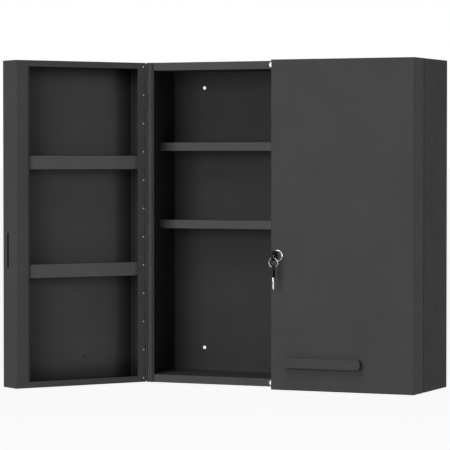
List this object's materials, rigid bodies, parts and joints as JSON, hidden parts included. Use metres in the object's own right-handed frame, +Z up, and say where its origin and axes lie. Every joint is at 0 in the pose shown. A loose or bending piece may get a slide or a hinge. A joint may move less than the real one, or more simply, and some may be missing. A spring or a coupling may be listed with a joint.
{
  "type": "lockable medicine cabinet",
  "caption": "Lockable wall-hung steel medicine cabinet with deep hinged double doors, shelves in body and doors, bar handles, magnetic catches and a keyed cam lock.",
  "frame": {"origin": "middle of the four wall holes, on the rear face of the back panel", "axes": "+X to the viewer's right, +Y back into the wall, +Z up; the doors face -Y"},
  "size_m": [0.8141, 0.3834, 0.652],
  "materials": {
    "powder_coat": "satin",
    "plated_steel": "satin",
    "magnet": "satin",
    "bright_chrome": "polished",
    "black_zinc": "satin",
    "key_steel": "polished",
    "black_plastic": "matte"
  },
  "bodies": {
    "cabinet": {"side_panel_left": "powder_coat", "side_panel_right": "powder_coat", "top_panel": "powder_coat", "bottom_panel": "powder_coat", "back_panel": "powder_coat", "ceiling_panel": "powder_coat", "floor_panel": "powder_coat", "upper_shelf": "powder_coat", "lower_shelf": "powder_coat", "catch_cups": "plated_steel", "catch_magnets": "magnet", "frame_leaf_left": "powder_coat", "frame_leaf_right": "powder_coat", "hinge_pin_left": "black_zinc", "hinge_pin_right": "black_zinc"},
    "left_door": {"door_pan_left": "powder_coat", "door_leaf_left": "powder_coat", "rivets_left": "plated_steel", "high_door_shelf_left": "powder_coat", "low_door_shelf_left": "powder_coat", "handle_left": "powder_coat", "handle_feet_left": "black_plastic", "handle_screws_left": "powder_coat"},
    "right_door": {"door_pan_right": "powder_coat", "door_leaf_right": "powder_coat", "rivets_right": "plated_steel", "high_door_shelf_right": "powder_coat", "low_door_shelf_right": "powder_coat", "handle_right": "powder_coat", "handle_feet_right": "black_plastic", "handle_screws_right": "powder_coat", "lock_bezel": "bright_chrome", "lock_barrel": "black_zinc", "lock_nut": "plated_steel"},
    "latch": {"lock_plug": "black_zinc", "lock_cam": "plated_steel", "cam_screw": "plated_steel"},
    "key": {"key_blade": "key_steel", "key_head": "black_plastic"},
    "ring": {"key_ring": "key_steel"},
    "spare_key": {"spare_blade": "key_steel", "spare_head": "black_plastic"}
  },
  "joints": [
    {"name": "left_door_swing", "type": "hinge", "parent": "cabinet", "child": "left_door", "pos_m": [-0.299, -0.1375, 0], "axis": [0, 0, -1], "range_deg": [-123.8, 1.2]},
    {"name": "right_door_swing", "type": "hinge", "parent": "cabinet", "child": "right_door", "pos_m": [0.299, -0.1375, 0], "axis": [0, 0, 1], "range_deg": [0, 125]},
    {"name": "lock_turn", "type": "hinge", "parent": "right_door", "child": "latch", "pos_m": [0.0162, -0.197, -0.068], "axis": [0, -1, 0], "range_deg": [0, 90]},
    {"name": "key_withdraw", "type": "slide", "parent": "latch", "child": "key", "axis": [0, -1, 0], "range_m": [0, 0.022]},
    {"name": "ring_swing", "type": "hinge", "parent": "key", "child": "ring", "pos_m": [0.0162, -0.2194, -0.0717], "axis": [1, 0, 0], "range_deg": [-30, 8]},
    {"name": "spare_swing", "type": "hinge", "parent": "ring", "child": "spare_key", "pos_m": [0.0162, -0.2194, -0.0903], "axis": [1, 0, 0], "range_deg": [-30, 8]}
  ]
}
